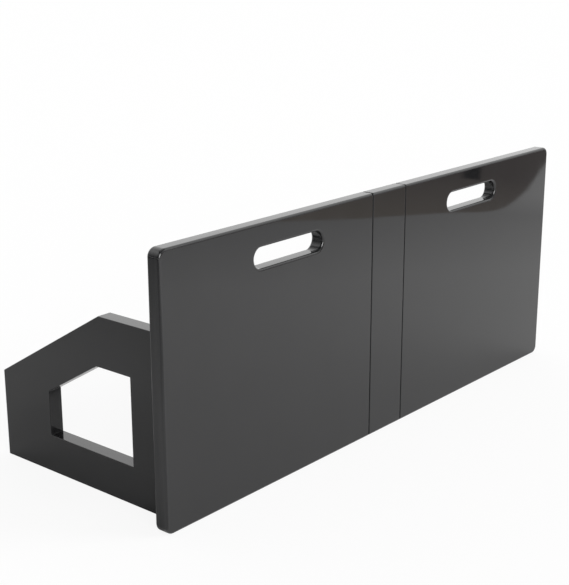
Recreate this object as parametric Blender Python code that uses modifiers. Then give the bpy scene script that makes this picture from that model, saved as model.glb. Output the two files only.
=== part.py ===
"""Soccer rebound board, set up for use.

Two panels are hinged to a narrow centre strip, and two legs stand square
behind them. Every hinge is a folding bracket: a channel with outer cheeks, a
swing arm between them, a riveted pin, a lock bar and the spring that pulls the
bar into its notch. +X runs along the board, its playing face looks towards -Y,
and Z is up. Lengths are in metres.
"""

from math import acos, atan2, cos, hypot, pi, radians, sin

import bmesh
import bpy
from mathutils import Matrix, Vector

MM = 0.001

# The board as a whole
BOARD_LENGTH = 1000 * MM
BOARD_HEIGHT = 400 * MM
BOARD_THICKNESS = 23.5 * MM
SEAM_GAP = 2.0 * MM
CORNER_RADIUS = 13 * MM
EDGE_ROUNDING = 4 * MM
SEAM_ROUNDING = 1.2 * MM

# The hand slots
SLOT_LENGTH = 151 * MM
SLOT_HEIGHT = 30.5 * MM
SLOT_FROM_END = 258 * MM
SLOT_BELOW_TOP = 50 * MM

# The legs: seen from the side, depth counts back from the board
LEG_INSET = 38 * MM
LEG_DEPTH = 366 * MM
LEG_REAR_HEIGHT = 139 * MM
LEG_PEAK_DEPTH = 142 * MM
LEG_PEAK_HEIGHT = 270.5 * MM
LEG_FRONT_RAIL = 81 * MM
LEG_BOTTOM_RAIL = 59.5 * MM
LEG_TOP_RAIL = 76.5 * MM
LEG_SLOPE_RAIL = 61.5 * MM
LEG_REAR_RAIL = 106 * MM
LEG_ROUNDING = 0.8 * MM
LEG_GAP = 0.3 * MM

# The folding brackets
PIN_STAND_OFF = 19.5 * MM
SEAT_GAP = 0.3 * MM
SHEET = 2 * MM
BRACKET_WIDTH = 50 * MM
ARM_LENGTH = 60 * MM
ARM_END_HEIGHT = 8 * MM
ARM_END_RADIUS = 4 * MM
BEND_RADIUS = 3 * MM
CHEEK_CLEARANCE = 2.5 * MM
SECTOR_STEP = 2 * MM
WEB_START = 10.5 * MM
CHEEK_HEEL = 3.2 * MM
SIDE_CLEARANCE = 0.3 * MM
PIN_RADIUS = 4 * MM
PIN_CLEARANCE = 0.15 * MM
RIVET_HEAD_RADIUS = 7 * MM
RIVET_HEAD_HEIGHT = 2.6 * MM
RIVET_RIM = 0.9 * MM
SCREW_HOLE_RADIUS = 2.6 * MM
SCREW_PAIR_AT = 24 * MM
SCREW_PAIR_SPACING = 26 * MM
SCREW_SINGLE_AT = 50 * MM

# The lock bars
LOCK_THICKNESS = 2.5 * MM
LOCK_WIDTH = 4.5 * MM
LOCK_OVERHANG = 7 * MM
LOCK_TRAVEL = 2.8 * MM
LOCK_LIFT = 0.4 * MM
LOCK_CLEARANCE = 0.15 * MM
LOCK_END_CLEARANCE = 0.3 * MM
LOCK_CORNER = 1.5 * MM
LOCK_ANGLE = radians(-62)

# The springs: a coil about the pin, a hook over the lock bar, a leg on the web
SPRING_WIRE = 1.4 * MM
SPRING_PITCH = 1.9 * MM
SPRING_CLEARANCE = 0.5 * MM
SPRING_SEAT_GAP = 0.3 * MM
SPRING_REST_AT = 30 * MM
SPRING_HOOK_BEND = 1.5 * MM
SPRING_HOOK_REACH = 1.5 * MM
SPRING_WHOLE_TURNS = 4

# Places of the brackets' middles: at each seam one bracket is near an edge of
# the board, and the other is just past the board's middle
SEAM_BRACKET_FROM_EDGE = 53 * MM
SEAM_BRACKET_PAST_MIDDLE = 40 * MM
LEG_BRACKET_FROM_EDGE = 45 * MM

# The room that the two folded legs leave between them
FOLDED_GAP = 0.8 * MM

# Facets, and the tolerances of the modelling
CORNER_STEPS = 8
SLOT_STEPS = 10
CHEEK_STEPS = 9
ARM_END_STEPS = 3
DOME_STEPS = 3
HOOK_STEPS = 3
CURL_STEPS = 10
PIN_SIDES = 20
HOLE_SIDES = 12
ROUNDING_STEPS = 3
SHARP_BEND = radians(45)
CREASE = radians(35)
FLAT = radians(1)
TOUCHING = MM / 10
MERGE = MM / 100
CUT_PAST = 4 * MM

# Sizes that follow: the folded legs lie side by side inside the strip's width
STRIP_WIDTH = 2 * (PIN_STAND_OFF + BOARD_THICKNESS) + FOLDED_GAP - SEAM_GAP
PANEL_LENGTH = (BOARD_LENGTH - STRIP_WIDTH) / 2 - SEAM_GAP
FRONT_Y = -(BOARD_THICKNESS + LEG_GAP + LEG_DEPTH) / 2
BACK_Y = FRONT_Y + BOARD_THICKNESS
PIN_Y = BACK_Y + PIN_STAND_OFF
SEAM_X = (STRIP_WIDTH + SEAM_GAP) / 2
LEG_INNER_X = BOARD_LENGTH / 2 - LEG_INSET - BOARD_THICKNESS
LEG_PIN_X = LEG_INNER_X - PIN_STAND_OFF
SEAT = PIN_STAND_OFF - SEAT_GAP
CHEEK_RADIUS = PIN_STAND_OFF - CHEEK_CLEARANCE
SECTOR_RADIUS = CHEEK_RADIUS - SECTOR_STEP
SWING_WIDTH = BRACKET_WIDTH - 2 * (SHEET + SIDE_CLEARANCE)
LOCK_REST_RADIUS = SECTOR_RADIUS + LOCK_LIFT + LOCK_THICKNESS / 2
NOTCH_BOTTOM = SECTOR_RADIUS + LOCK_LIFT - LOCK_TRAVEL - LOCK_END_CLEARANCE
SEAM_HEIGHTS = {
    "left": {
        "low": SEAM_BRACKET_FROM_EDGE,
        "high": BOARD_HEIGHT / 2 + SEAM_BRACKET_PAST_MIDDLE,
    },
    "right": {
        "low": BOARD_HEIGHT / 2 - SEAM_BRACKET_PAST_MIDDLE,
        "high": BOARD_HEIGHT - SEAM_BRACKET_FROM_EDGE,
    },
}
LEG_HEIGHTS = {
    "low": LEG_BRACKET_FROM_EDGE,
    "high": LEG_PEAK_HEIGHT - LEG_BRACKET_FROM_EDGE,
}

# Turns that place a bracket half: its arm runs along local +X, off a face at local -Y
ALONG_X = Matrix.Identity(3)
AGAINST_X = Matrix.Rotation(pi, 3, "Y")
BACK_FROM_RIGHT_LEG = Matrix.Rotation(pi / 2, 3, "Z")
BACK_FROM_LEFT_LEG = Matrix(((0, 1, 0), (1, 0, 0), (0, 0, -1)))


def clear_scene():
    for obj in list(bpy.data.objects):
        bpy.data.objects.remove(obj, do_unlink=True)


def new_collection(name):
    collection = bpy.data.collections.new(name)
    bpy.context.scene.collection.children.link(collection)
    return collection


def new_material(name, colour, roughness, metallic):
    material = bpy.data.materials.new(name)
    material.use_nodes = True
    shader = material.node_tree.nodes["Principled BSDF"]
    shader.inputs["Base Color"].default_value = (*colour, 1)
    shader.inputs["Roughness"].default_value = roughness
    shader.inputs["Metallic"].default_value = metallic
    return material


def axis_empty(name, location, parent=None):
    """An empty on a joint's axis: whatever turns there is parented to it."""
    empty = bpy.data.objects.new(name, None)
    PARTS.objects.link(empty)
    place(empty, location, parent)
    return empty


def place(obj, location, parent=None):
    obj.parent = parent
    obj.location = Vector(location) - (parent_place(parent) if parent else Vector())


def parent_place(parent):
    location = parent.location.copy()
    while parent.parent:
        parent = parent.parent
        location += parent.location
    return location


def add_part(name, shape, material, location, parent=None, turn=ALONG_X):
    obj = bpy.data.objects.new(name, shape)
    PARTS.objects.link(obj)
    if not shape.materials:
        shape.materials.append(material)
    place(obj, location, parent)
    obj.rotation_euler = turn.to_euler()
    return obj


def add_cutter(name, mesh):
    obj = bpy.data.objects.new(name, mesh)
    CUTTERS.objects.link(obj)
    obj.hide_render = True
    obj.display_type = "WIRE"
    return obj


def arc(centre, radius, start, end, steps):
    """Points along an arc, ends included."""
    angles = [start + (end - start) * i / steps for i in range(steps + 1)]
    return [(centre[0] + radius * cos(a), centre[1] + radius * sin(a)) for a in angles]


def slab_mesh(name, outline, thickness, plane="XY"):
    """A flat outline given thickness about its plane, as a closed mesh."""
    curve = bpy.data.curves.new(name, "CURVE")
    curve.dimensions = "2D"
    curve.fill_mode = "BOTH"
    curve.extrude = thickness / 2
    spline = curve.splines.new("POLY")
    spline.points.add(len(outline) - 1)
    for point, (a, b) in zip(spline.points, outline):
        point.co = (a, b, 0, 1)
    spline.use_cyclic_u = True
    holder = bpy.data.objects.new(name, curve)
    bpy.context.scene.collection.objects.link(holder)
    evaluated = holder.evaluated_get(bpy.context.evaluated_depsgraph_get())
    mesh = bpy.data.meshes.new_from_object(evaluated)
    bpy.data.objects.remove(holder, do_unlink=True)
    bpy.data.curves.remove(curve)
    turns = {
        "XY": Matrix.Identity(4),
        "XZ": Matrix.Rotation(pi / 2, 4, "X"),
        "YZ": Matrix(((0, 0, 1, 0), (1, 0, 0, 0), (0, 1, 0, 0), (0, 0, 0, 1))),
    }
    shape = bmesh.new()
    shape.from_mesh(mesh)
    bmesh.ops.remove_doubles(shape, verts=shape.verts, dist=MERGE)
    bmesh.ops.transform(shape, matrix=turns[plane], verts=shape.verts)
    bmesh.ops.recalc_face_normals(shape, faces=shape.faces)
    shape.to_mesh(mesh)
    shape.free()
    mesh.name = name
    return mesh


def box_mesh(name, low, high):
    shape = bmesh.new()
    bmesh.ops.create_cube(shape, size=1)
    size = [h - l for l, h in zip(low, high)]
    middle = [(h + l) / 2 for l, h in zip(low, high)]
    bmesh.ops.scale(shape, vec=size, verts=shape.verts)
    bmesh.ops.translate(shape, vec=middle, verts=shape.verts)
    mesh = bpy.data.meshes.new(name)
    shape.to_mesh(mesh)
    shape.free()
    return mesh


def rod_mesh(name, radius, length, sides, centre=(0, 0, 0), axis="Z"):
    shape = bmesh.new()
    bmesh.ops.create_cone(
        shape, cap_ends=True, segments=sides, radius1=radius, radius2=radius, depth=length
    )
    if axis == "Y":
        bmesh.ops.rotate(shape, matrix=Matrix.Rotation(pi / 2, 3, "X"), verts=shape.verts)
    bmesh.ops.translate(shape, vec=centre, verts=shape.verts)
    mesh = bpy.data.meshes.new(name)
    shape.to_mesh(mesh)
    shape.free()
    return mesh


def cut(mesh, cutters):
    """The mesh with the cutters taken out of it, one after the other."""
    holder = bpy.data.objects.new(mesh.name, mesh)
    bpy.context.scene.collection.objects.link(holder)
    for cutter in cutters:
        boolean = holder.modifiers.new(cutter.name, "BOOLEAN")
        boolean.operation = "DIFFERENCE"
        boolean.object = cutter
    evaluated = holder.evaluated_get(bpy.context.evaluated_depsgraph_get())
    result = bpy.data.meshes.new_from_object(evaluated)
    bpy.data.objects.remove(holder, do_unlink=True)
    result.name = mesh.name
    return result


def round_edges(mesh, wanted, steps):
    """Bevel each edge for which wanted(start, end, bend) gives a width."""
    shape = bmesh.new()
    shape.from_mesh(mesh)
    bmesh.ops.remove_doubles(shape, verts=shape.verts, dist=MERGE)
    bmesh.ops.dissolve_limit(shape, angle_limit=FLAT, verts=shape.verts, edges=shape.edges)
    groups = {}
    for edge in shape.edges:
        bend = edge.calc_face_angle(0)
        width = wanted(edge.verts[0].co, edge.verts[1].co, bend)
        if width:
            groups.setdefault(width, []).append(edge)
    for width in sorted(groups, reverse=True):
        edges = [e for e in groups[width] if e.is_valid]
        bmesh.ops.bevel(
            shape, geom=edges, offset=width, segments=steps, profile=0.5,
            affect="EDGES", clamp_overlap=False, material=-1,
        )
    bmesh.ops.recalc_face_normals(shape, faces=shape.faces)
    shape.to_mesh(mesh)
    shape.free()
    return mesh


def shade(mesh):
    mesh.shade_smooth()
    mesh.set_sharp_from_angle(angle=CREASE)
    return mesh


# Boards

def rounded_end_outline(length, height, radius):
    """A board outline whose two corners at the far end are rounded."""
    outline = [(0, 0)]
    outline += arc((length - radius, radius), radius, -pi / 2, 0, CORNER_STEPS)
    outline += arc((length - radius, height - radius), radius, 0, pi / 2, CORNER_STEPS)
    outline += [(0, height)]
    return outline


def slot_outline(centre, length, height):
    """A long hole with round ends."""
    reach = (length - height) / 2
    right = (centre[0] + reach, centre[1])
    left = (centre[0] - reach, centre[1])
    outline = arc(right, height / 2, -pi / 2, pi / 2, SLOT_STEPS)
    outline += arc(left, height / 2, pi / 2, 3 * pi / 2, SLOT_STEPS)
    return outline


def make_panel(side):
    """side is +1 for the right panel and -1 for the left one."""
    name = "right_panel" if side > 0 else "left_panel"
    start = SEAM_X + SEAM_GAP / 2
    middle_y = (FRONT_Y + BACK_Y) / 2
    origin = Vector((side * SEAM_X, PIN_Y, 0))
    outline = rounded_end_outline(PANEL_LENGTH, BOARD_HEIGHT, CORNER_RADIUS)
    outline = [(side * (start + a) - origin.x, b) for a, b in outline]
    hole_x = side * (BOARD_LENGTH / 2 - SLOT_FROM_END) - origin.x
    hole = slot_outline((hole_x, BOARD_HEIGHT - SLOT_BELOW_TOP), SLOT_LENGTH, SLOT_HEIGHT)
    mesh = slab_mesh(name, outline, BOARD_THICKNESS, "XZ")
    through = BOARD_THICKNESS + 2 * CUT_PAST
    slot = add_cutter(name + "_slot_cutter", slab_mesh(name + "_slot", hole, through, "XZ"))
    mesh = cut(mesh, [slot])
    seam = side * start - origin.x

    def wanted(a, b, bend):
        if bend < SHARP_BEND:
            return 0
        at_seam = abs(a.x - seam) < TOUCHING and abs(b.x - seam) < TOUCHING
        return SEAM_ROUNDING if at_seam else EDGE_ROUNDING

    mesh = shade(round_edges(mesh, wanted, ROUNDING_STEPS))
    mesh.transform(Matrix.Translation((0, middle_y - origin.y, 0)))
    slot.location = (origin.x, middle_y, 0)
    parent = AXES[name]
    return add_part(name, mesh, PLASTIC, origin, parent)


def make_strip():
    half = STRIP_WIDTH / 2
    low = (-half, FRONT_Y, 0)
    high = (half, BACK_Y, BOARD_HEIGHT)
    mesh = box_mesh("centre_strip", low, high)

    def wanted(a, b, bend):
        along_seam = abs(a.x - b.x) < TOUCHING
        return SEAM_ROUNDING if along_seam else EDGE_ROUNDING

    mesh = shade(round_edges(mesh, wanted, ROUNDING_STEPS))
    return add_part("centre_strip", mesh, PLASTIC, (0, 0, 0))


def leg_outline():
    """The five corners of a leg, depth from the board first, then height."""
    return [
        (0, 0),
        (LEG_DEPTH, 0),
        (LEG_DEPTH, LEG_REAR_HEIGHT),
        (LEG_PEAK_DEPTH, LEG_PEAK_HEIGHT),
        (0, LEG_PEAK_HEIGHT),
    ]


def window_outline():
    """The five corners of the opening, each rail at its own width."""
    drop = LEG_PEAK_HEIGHT - LEG_REAR_HEIGHT
    run = LEG_DEPTH - LEG_PEAK_DEPTH
    fall = drop / run
    upright = LEG_SLOPE_RAIL * hypot(run, drop) / run
    top = LEG_PEAK_HEIGHT - LEG_TOP_RAIL
    rear = LEG_DEPTH - LEG_REAR_RAIL

    def slope_height(depth):
        return LEG_PEAK_HEIGHT - upright - (depth - LEG_PEAK_DEPTH) * fall

    peak_depth = LEG_PEAK_DEPTH + (LEG_PEAK_HEIGHT - upright - top) / fall
    return [
        (LEG_FRONT_RAIL, LEG_BOTTOM_RAIL),
        (rear, LEG_BOTTOM_RAIL),
        (rear, slope_height(rear)),
        (peak_depth, top),
        (LEG_FRONT_RAIL, top),
    ]


def make_leg(side):
    name = "right_leg" if side > 0 else "left_leg"
    middle_x = side * (LEG_INNER_X + BOARD_THICKNESS / 2)
    front = BACK_Y + LEG_GAP
    origin = Vector((side * LEG_PIN_X, PIN_Y, 0))
    mesh = slab_mesh(name, leg_outline(), BOARD_THICKNESS, "YZ")
    through = BOARD_THICKNESS + 2 * CUT_PAST
    window = add_cutter(
        name + "_window_cutter", slab_mesh(name + "_window", window_outline(), through, "YZ")
    )
    mesh = cut(mesh, [window])

    def wanted(a, b, bend):
        return LEG_ROUNDING if bend > FLAT else 0

    mesh = shade(round_edges(mesh, wanted, 1))
    offset = Vector((middle_x, front, 0)) - origin
    mesh.transform(Matrix.Translation(offset))
    window.location = (middle_x, front, 0)
    return add_part(name, mesh, PLASTIC, origin, AXES[name])


# Folding brackets, modelled on the pin axis: the arm runs along +X and is
# screwed to a face at -Y

def tangent_angle(point, radius, side):
    """Where a line through the point touches a circle about the pin: side is +1 or -1."""
    return atan2(point[1], point[0]) + side * acos(radius / hypot(*point))


def cheek_outline(radius):
    """Side view of a bracket half: round about the pin, then falling to the arm's end."""
    corner = (ARM_LENGTH - ARM_END_RADIUS, -SEAT + ARM_END_HEIGHT - ARM_END_RADIUS)
    heel = (CHEEK_HEEL, -SEAT)
    slant = tangent_angle(corner, radius - ARM_END_RADIUS, 1)
    round_end = tangent_angle(heel, radius, -1) + 2 * pi
    outline = arc((0, 0), radius, slant, round_end, CHEEK_STEPS)
    outline += [heel, (ARM_LENGTH, -SEAT)]
    outline += arc(corner, ARM_END_RADIUS, 0, slant, ARM_END_STEPS)
    return outline


def channel_mesh(name, radius, width, extra_cutters):
    """A U-shaped half: one sheet bent into a web and two cheeks."""
    block = slab_mesh(name, cheek_outline(radius), width)

    def wanted(a, b, bend):
        on_seat = abs(a.y + SEAT) < TOUCHING and abs(b.y + SEAT) < TOUCHING
        lengthwise = abs(a.z - b.z) < TOUCHING
        return BEND_RADIUS if on_seat and lengthwise and bend > SHARP_BEND else 0

    block = round_edges(block, wanted, 2)
    inner = width / 2 - SHEET
    floor = -SEAT + SHEET
    back = -radius - CUT_PAST
    top = radius + CUT_PAST
    cutters = [
        box_mesh(name + "_hollow", (back, floor, -inner), (ARM_LENGTH + CUT_PAST, top, inner)),
        box_mesh(name + "_mouth", (back, -SEAT - CUT_PAST, -inner), (WEB_START, top, inner)),
        rod_mesh(name + "_bore", PIN_RADIUS + PIN_CLEARANCE, width + 2 * CUT_PAST, PIN_SIDES),
    ]
    for along, across in screw_places():
        place_in_web = (along, -SEAT + SHEET / 2, across)
        depth = SHEET + 2 * CUT_PAST
        cutters.append(
            rod_mesh(name + "_screw_hole", SCREW_HOLE_RADIUS, depth, HOLE_SIDES, place_in_web, "Y")
        )
    cutters = [add_cutter(mesh.name, mesh) for mesh in cutters]
    return shade(cut(block, cutters + extra_cutters))


def screw_places():
    half = SCREW_PAIR_SPACING / 2
    return [(SCREW_PAIR_AT, -half), (SCREW_PAIR_AT, half), (SCREW_SINGLE_AT, 0)]


def radial_box(name, inner, outer, width, angle):
    """A box right across the bracket, from one radius about the pin to another."""
    half = BRACKET_WIDTH / 2 + CUT_PAST
    mesh = box_mesh(name, (inner, -width / 2, -half), (outer, width / 2, half))
    mesh.transform(Matrix.Rotation(angle, 4, "Z"))
    return mesh


def outer_channel_mesh():
    slot = radial_box(
        "channel_lock_slot",
        NOTCH_BOTTOM,
        LOCK_REST_RADIUS + LOCK_THICKNESS / 2 + LOCK_END_CLEARANCE,
        LOCK_WIDTH + 2 * LOCK_CLEARANCE,
        LOCK_ANGLE,
    )
    return channel_mesh("channel", CHEEK_RADIUS, BRACKET_WIDTH, [add_cutter(slot.name, slot)])


def swing_arm_mesh(name, held_at):
    """The inner half; held_at lists the openings, in degrees, at which the bar drops in."""
    notches = []
    for opening in held_at:
        notch = radial_box(
            f"{name}_notch_{opening}",
            NOTCH_BOTTOM,
            SECTOR_RADIUS + CUT_PAST,
            LOCK_WIDTH + 2 * LOCK_CLEARANCE,
            radians(opening) - LOCK_ANGLE,
        )
        notches.append(add_cutter(notch.name, notch))
    return channel_mesh(name, SECTOR_RADIUS, SWING_WIDTH, notches)


def pin_mesh():
    """The rivet: a shank with a domed head at each end, turned about its axis."""
    half = BRACKET_WIDTH / 2 + SEAT_GAP
    upper = [(0, half + RIVET_HEAD_HEIGHT)]
    for step in range(DOME_STEPS - 1, -1, -1):
        angle = pi / 2 * step / DOME_STEPS
        height = RIVET_RIM + (RIVET_HEAD_HEIGHT - RIVET_RIM) * sin(angle)
        upper.append((RIVET_HEAD_RADIUS * cos(angle), half + height))
    upper += [(RIVET_HEAD_RADIUS, half), (PIN_RADIUS, half)]
    profile = upper + [(r, -z) for r, z in reversed(upper)]
    shape = bmesh.new()
    verts = [shape.verts.new((r, 0, z)) for r, z in profile]
    for a, b in zip(verts, verts[1:]):
        shape.edges.new((a, b))
    mesh = bpy.data.meshes.new("pin_profile")
    shape.to_mesh(mesh)
    shape.free()
    holder = bpy.data.objects.new("pin_profile", mesh)
    bpy.context.scene.collection.objects.link(holder)
    screw = holder.modifiers.new("turn", "SCREW")
    screw.steps = PIN_SIDES
    screw.render_steps = PIN_SIDES
    screw.use_merge_vertices = True
    screw.merge_threshold = MERGE
    evaluated = holder.evaluated_get(bpy.context.evaluated_depsgraph_get())
    turned = bpy.data.meshes.new_from_object(evaluated)
    bpy.data.objects.remove(holder, do_unlink=True)
    turned.name = "pin"
    return shade(turned)


def lock_bar_mesh():
    """A flat bar across the cheeks, its radial direction along local +X."""
    half = BRACKET_WIDTH / 2 + LOCK_OVERHANG
    low = (-LOCK_THICKNESS / 2, -LOCK_WIDTH / 2, -half)
    high = (LOCK_THICKNESS / 2, LOCK_WIDTH / 2, half)
    mesh = box_mesh("lock_bar", low, high)

    def wanted(a, b, bend):
        at_end = abs(abs(a.z) - half) < TOUCHING and abs(abs(b.z) - half) < TOUCHING
        through = abs(a.y - b.y) < TOUCHING
        return LOCK_CORNER if at_end and through else 0

    return shade(round_edges(mesh, wanted, 2))


def at_lock_bar(out, across, height):
    """A point given by its distance from the pin towards the lock bar, and across the bar."""
    x = out * cos(LOCK_ANGLE) - across * sin(LOCK_ANGLE)
    y = out * sin(LOCK_ANGLE) + across * cos(LOCK_ANGLE)
    return (x, y, height)


def spring_points():
    """The wire's middle line, from the tip of the hook to the end of the leg."""
    radius = PIN_RADIUS + SPRING_CLEARANCE + SPRING_WIRE / 2
    rest = (SPRING_REST_AT, -SEAT + SHEET + SPRING_SEAT_GAP + SPRING_WIRE / 2)
    start = LOCK_ANGLE + pi / 2
    end = tangent_angle(rest, radius, -1) + SPRING_WHOLE_TURNS * 2 * pi
    turns = (end - start) / (2 * pi)
    half = turns * SPRING_PITCH / 2
    outside = LOCK_REST_RADIUS + LOCK_THICKNESS / 2 + SPRING_SEAT_GAP + SPRING_WIRE / 2
    bend_centre = (outside - SPRING_HOOK_BEND, radius - SPRING_HOOK_BEND)
    points = [at_lock_bar(outside, -SPRING_HOOK_REACH, -half)]
    points += [
        at_lock_bar(out, across, -half)
        for out, across in arc(bend_centre, SPRING_HOOK_BEND, 0, pi / 2, HOOK_STEPS)
    ]
    steps = round(turns * CURL_STEPS)
    for step in range(steps + 1):
        angle = start + (end - start) * step / steps
        height = turns * SPRING_PITCH * step / steps - half
        points.append((radius * cos(angle), radius * sin(angle), height))
    points.append((*rest, half))
    return points


def least_gap(points, wire, apart):
    """The least room between stretches of the wire that lie further apart along it."""
    fine = []
    run = 0
    for a, b in zip(points, points[1:]):
        start = Vector(a)
        leg = Vector(b) - start
        pieces = max(1, round(leg.length / wire))
        fine += [(start + leg * i / pieces, run + leg.length * i / pieces) for i in range(pieces)]
        run += leg.length
    gaps = [
        (p - q).length - wire
        for i, (p, p_run) in enumerate(fine)
        for q, q_run in fine[i + 1:]
        if q_run - p_run > apart
    ]
    return min(gaps)


def spring_curve():
    points = spring_points()
    curve = bpy.data.curves.new("spring", "CURVE")
    curve.dimensions = "3D"
    curve.bevel_depth = SPRING_WIRE / 2
    curve.bevel_resolution = 1
    curve.use_fill_caps = True
    spline = curve.splines.new("POLY")
    spline.points.add(len(points) - 1)
    for point, place_on_wire in zip(spline.points, points):
        point.co = (*place_on_wire, 1)
    gap = least_gap(points, SPRING_WIRE, SPRING_WIRE * 4)
    print("spring:", len(points), "points, least gap to itself", round(gap / MM, 2), "mm")
    return curve


def make_bracket(name, pin, fixed_turn, swing_turn, fixed_parent, swing_parent, swing_mesh):
    add_part(name + "_channel", MESHES["channel"], ZINC, pin, fixed_parent, fixed_turn)
    add_part(name + "_swing_arm", swing_mesh, ZINC, pin, swing_parent, swing_turn)
    add_part(name + "_pin", MESHES["pin"], ZINC, pin, fixed_parent, fixed_turn)
    add_part(name + "_spring", MESHES["spring"], SPRING_STEEL, pin, fixed_parent, fixed_turn)
    radial = Matrix.Rotation(LOCK_ANGLE, 3, "Z")
    offset = fixed_turn @ radial @ Vector((LOCK_REST_RADIUS, 0, 0))
    add_part(
        name + "_lock_bar", MESHES["lock_bar"], ZINC,
        Vector(pin) + offset, fixed_parent, fixed_turn @ radial,
    )


def make_seam_brackets():
    for side, label in ((-1, "left"), (1, "right")):
        inward, outward = (ALONG_X, AGAINST_X) if side < 0 else (AGAINST_X, ALONG_X)
        for level, height in SEAM_HEIGHTS[label].items():
            make_bracket(
                f"{label}_seam_{level}",
                (side * SEAM_X, PIN_Y, height),
                inward,
                outward,
                None,
                AXES[label + "_panel"],
                MESHES["seam_swing_arm"],
            )


def make_leg_brackets():
    for side, label in ((-1, "left"), (1, "right")):
        inward = ALONG_X if side < 0 else AGAINST_X
        backward = BACK_FROM_LEFT_LEG if side < 0 else BACK_FROM_RIGHT_LEG
        for level, height in LEG_HEIGHTS.items():
            make_bracket(
                f"{label}_leg_{level}",
                (side * LEG_PIN_X, PIN_Y, height),
                inward,
                backward,
                AXES[label + "_panel"],
                AXES[label + "_leg"],
                MESHES["leg_swing_arm"],
            )


clear_scene()
PARTS = new_collection("soccer_rebound_board")
CUTTERS = new_collection("cutters")
PLASTIC = new_material("black_polyethylene", (0.028, 0.028, 0.03), 0.16, 0)
ZINC = new_material("zinc_plated_steel", (0.62, 0.56, 0.44), 0.32, 1)
SPRING_STEEL = new_material("spring_wire", (0.42, 0.42, 0.42), 0.3, 1)

AXES = {}
for sign, label in ((-1, "left"), (1, "right")):
    fold = axis_empty(f"{label}_fold_axis", (sign * SEAM_X, PIN_Y, 0))
    AXES[label + "_panel"] = fold
    AXES[label + "_leg"] = axis_empty(f"{label}_leg_axis", (sign * LEG_PIN_X, PIN_Y, 0), fold)

MESHES = {
    "channel": outer_channel_mesh(),
    "seam_swing_arm": swing_arm_mesh("seam_swing_arm", (180, 90)),
    "leg_swing_arm": swing_arm_mesh("leg_swing_arm", (90, 0)),
    "pin": pin_mesh(),
    "lock_bar": lock_bar_mesh(),
    "spring": spring_curve(),
}

make_strip()
for sign in (-1, 1):
    make_panel(sign)
    make_leg(sign)
make_seam_brackets()
make_leg_brackets()

for obj in PARTS.objects:
    if obj.type == "MESH":
        print(obj.name, len(obj.data.polygons), "faces")
print("strip width", round(STRIP_WIDTH / MM, 2), "mm; panel length", round(PANEL_LENGTH / MM, 2), "mm")
print("seam pins at x", round(SEAM_X / MM, 2), "leg pins at x", round(LEG_PIN_X / MM, 2), "mm")
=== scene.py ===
# %% [markdown]
# Soccer rebound board, the looks.
# The board is five slabs of glossy black plastic: two panels, a strip between them
# and two legs with a window. Eight folding brackets of zinc-plated sheet steel join
# them. The frame that is loaded here holds every piece at its real size and place, so
# this file only gives each piece a finer surface and its real finish.

# %% Load the frame
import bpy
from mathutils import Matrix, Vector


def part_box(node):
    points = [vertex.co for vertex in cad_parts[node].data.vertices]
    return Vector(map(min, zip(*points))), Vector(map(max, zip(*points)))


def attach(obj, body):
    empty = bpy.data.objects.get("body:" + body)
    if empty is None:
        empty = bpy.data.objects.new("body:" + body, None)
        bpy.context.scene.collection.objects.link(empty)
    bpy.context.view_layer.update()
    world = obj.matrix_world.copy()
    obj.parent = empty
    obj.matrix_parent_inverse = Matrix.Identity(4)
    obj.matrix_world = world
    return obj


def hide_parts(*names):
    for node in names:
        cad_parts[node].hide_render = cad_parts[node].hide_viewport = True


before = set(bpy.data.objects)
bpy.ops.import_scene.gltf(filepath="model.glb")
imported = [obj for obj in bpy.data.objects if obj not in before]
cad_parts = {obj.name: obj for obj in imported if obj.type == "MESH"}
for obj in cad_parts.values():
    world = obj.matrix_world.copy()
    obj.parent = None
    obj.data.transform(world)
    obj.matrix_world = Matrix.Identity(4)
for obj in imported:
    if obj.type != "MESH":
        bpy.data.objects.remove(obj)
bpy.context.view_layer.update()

# %% The other modules, and the millimetre
from math import acos, atan2, cos, degrees, hypot, pi, radians, sin

import bmesh
import bpy
from mathutils import Matrix, Vector

MM = 0.001

# %% [markdown]
# The camera comes first, because every finish is judged through it. A photograph of a
# box-shaped thing fixes its own camera: the vanishing points of the long edges give
# the lens and the heading, and the known length of the board gives the distance.

# %% The camera
CAMERA_PLACE = Vector((-1.5517, -1.2938, 0.7895))
CAMERA_HEADING = radians(49.727)
CAMERA_DOWN = radians(16.391)
CAMERA_ROLL = radians(-0.103)
CAMERA_LENS = 76.256
SENSOR_WIDTH = 36

camera_data = bpy.data.cameras.new("camera")
camera_data.lens = CAMERA_LENS
camera_data.sensor_width = SENSOR_WIDTH
camera = bpy.data.objects.new("camera", camera_data)
bpy.context.scene.collection.objects.link(camera)
camera.matrix_world = (
    Matrix.Translation(CAMERA_PLACE)
    @ Matrix.Rotation(-CAMERA_HEADING, 4, "Z")
    @ Matrix.Rotation(pi / 2 - CAMERA_DOWN, 4, "X")
    @ Matrix.Rotation(CAMERA_ROLL, 4, "Z")
)
bpy.context.scene.camera = camera
bpy.context.scene.view_settings.view_transform = "Standard"
print("camera", round(CAMERA_PLACE.length, 2), "m from the frame's origin")

# %% [markdown]
# Colours are written as the screen shows them, in hex, and turned to the linear values
# that the renderer works in. One function adds a shader node: its settings are the
# keyword arguments, its inputs take a value or another node's output, and it gives
# back the output that the next node needs.

# %% Colour and node helpers
def linear(code):
    """An sRGB hex colour as linear red, green, blue and alpha."""
    parts = [int(code[i:i + 2], 16) / 255 for i in (0, 2, 4)]
    return tuple(
        c / 12.92 if c <= 0.04045 else ((c + 0.055) / 1.055) ** 2.4 for c in parts
    ) + (1,)


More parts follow.
